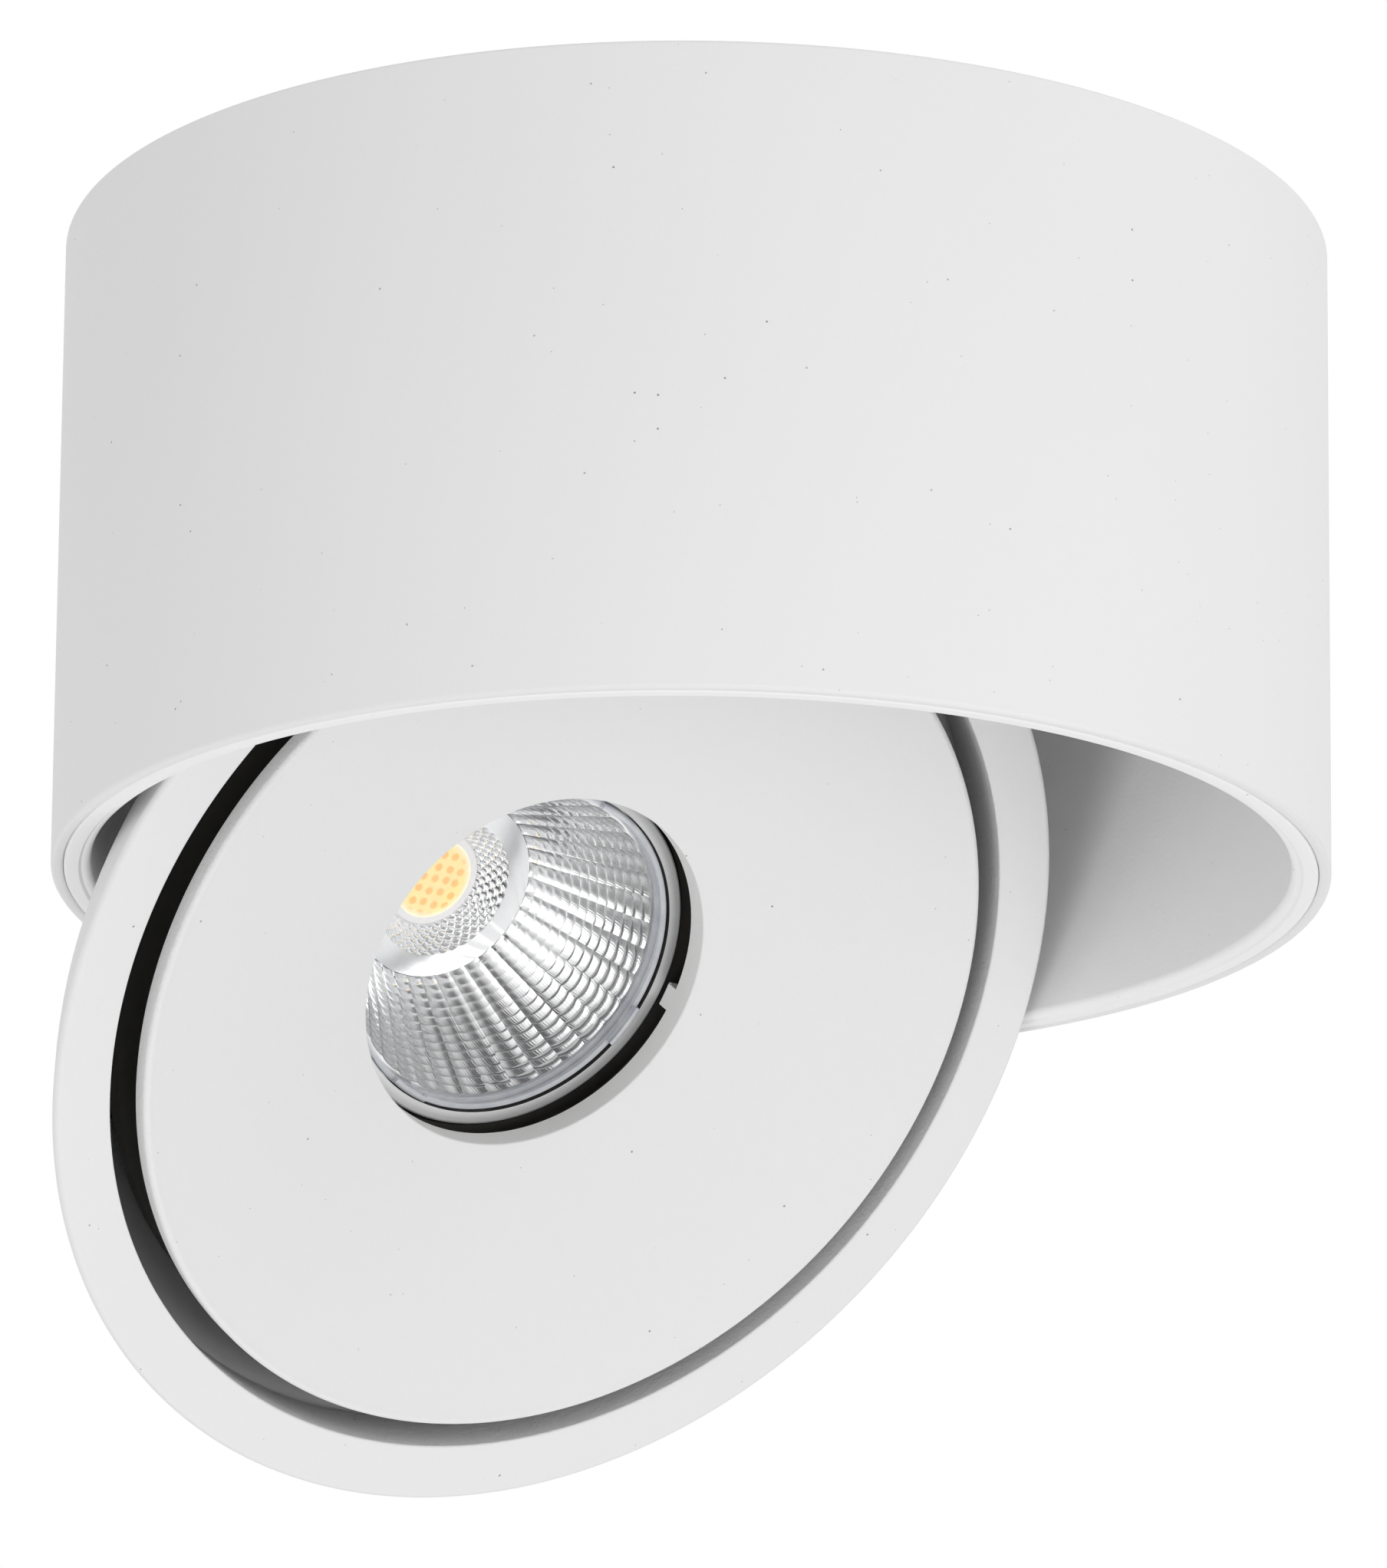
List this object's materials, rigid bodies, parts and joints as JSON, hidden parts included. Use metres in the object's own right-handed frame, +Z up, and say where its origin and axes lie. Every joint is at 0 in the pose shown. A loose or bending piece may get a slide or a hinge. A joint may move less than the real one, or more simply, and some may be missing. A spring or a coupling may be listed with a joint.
{
  "type": "downlight",
  "caption": "Round surface-mounted ceiling spot: a white can with an eyeball head that pans and tilts, a dished face, a fluted reflector and a clear cover over an LED.",
  "frame": {"origin": "centre of the ceiling face, midway between the two screw slots of the ceiling strip", "axes": "+Z up, into the ceiling; the head is aimed towards -Y and tilts about a level axis along X"},
  "size_m": [0.12, 0.12, 0.1106],
  "materials": {
    "white_coat": "matte",
    "zinc_steel": "satin",
    "cast_aluminium": "matte",
    "black_aluminium": "matte",
    "satin_aluminium": "satin",
    "white_plastic": "matte",
    "slide_plastic": "satin",
    "rubber": "matte",
    "board_ceramic": "satin",
    "phosphor": "satin",
    "bright_metal": "polished",
    "clear_cover": "gloss"
  },
  "bodies": {
    "ceiling_unit": {"ceiling_bracket": "zinc_steel", "bracket_studs": "zinc_steel", "housing_can": "white_coat", "top_plate": "zinc_steel", "cable_grommet": "rubber", "chassis_pillars": "zinc_steel", "chassis_plate": "zinc_steel", "inner_liner": "white_coat", "liner_flange": "white_coat", "chassis_screws": "zinc_steel", "driver_case": "white_plastic", "driver_screws": "zinc_steel", "terminal_block": "white_plastic", "terminal_screws": "zinc_steel", "pan_stop": "zinc_steel"},
    "turntable": {"carriage": "zinc_steel", "pan_washer": "slide_plastic", "pan_spring_washer": "zinc_steel", "pan_nut": "zinc_steel", "tilt_saddle": "cast_aluminium", "saddle_screws": "zinc_steel", "tilt_washer": "zinc_steel", "tilt_bolt": "zinc_steel"},
    "head": {"head_dome": "white_coat", "dome_screws": "zinc_steel", "face_ring": "white_coat", "face_disc": "white_coat", "heat_sink": "black_aluminium", "disc_screws": "zinc_steel", "cob_board": "board_ceramic", "cob_emitter": "phosphor", "cob_holder": "white_plastic", "holder_screws": "zinc_steel", "reflector_collar": "bright_metal", "reflector": "bright_metal", "cover_lens": "clear_cover", "lens_ring": "satin_aluminium"}
  },
  "joints": [
    {"name": "pan", "type": "hinge", "parent": "ceiling_unit", "child": "turntable", "pos_m": [0, 0, -0.0188], "axis": [0, 0, 1], "range_deg": [-170, 170]},
    {"name": "tilt", "type": "hinge", "parent": "turntable", "child": "head", "pos_m": [0, 0, -0.08411], "axis": [-1, 0, 0], "range_deg": [-51.3, 3.7]}
  ]
}
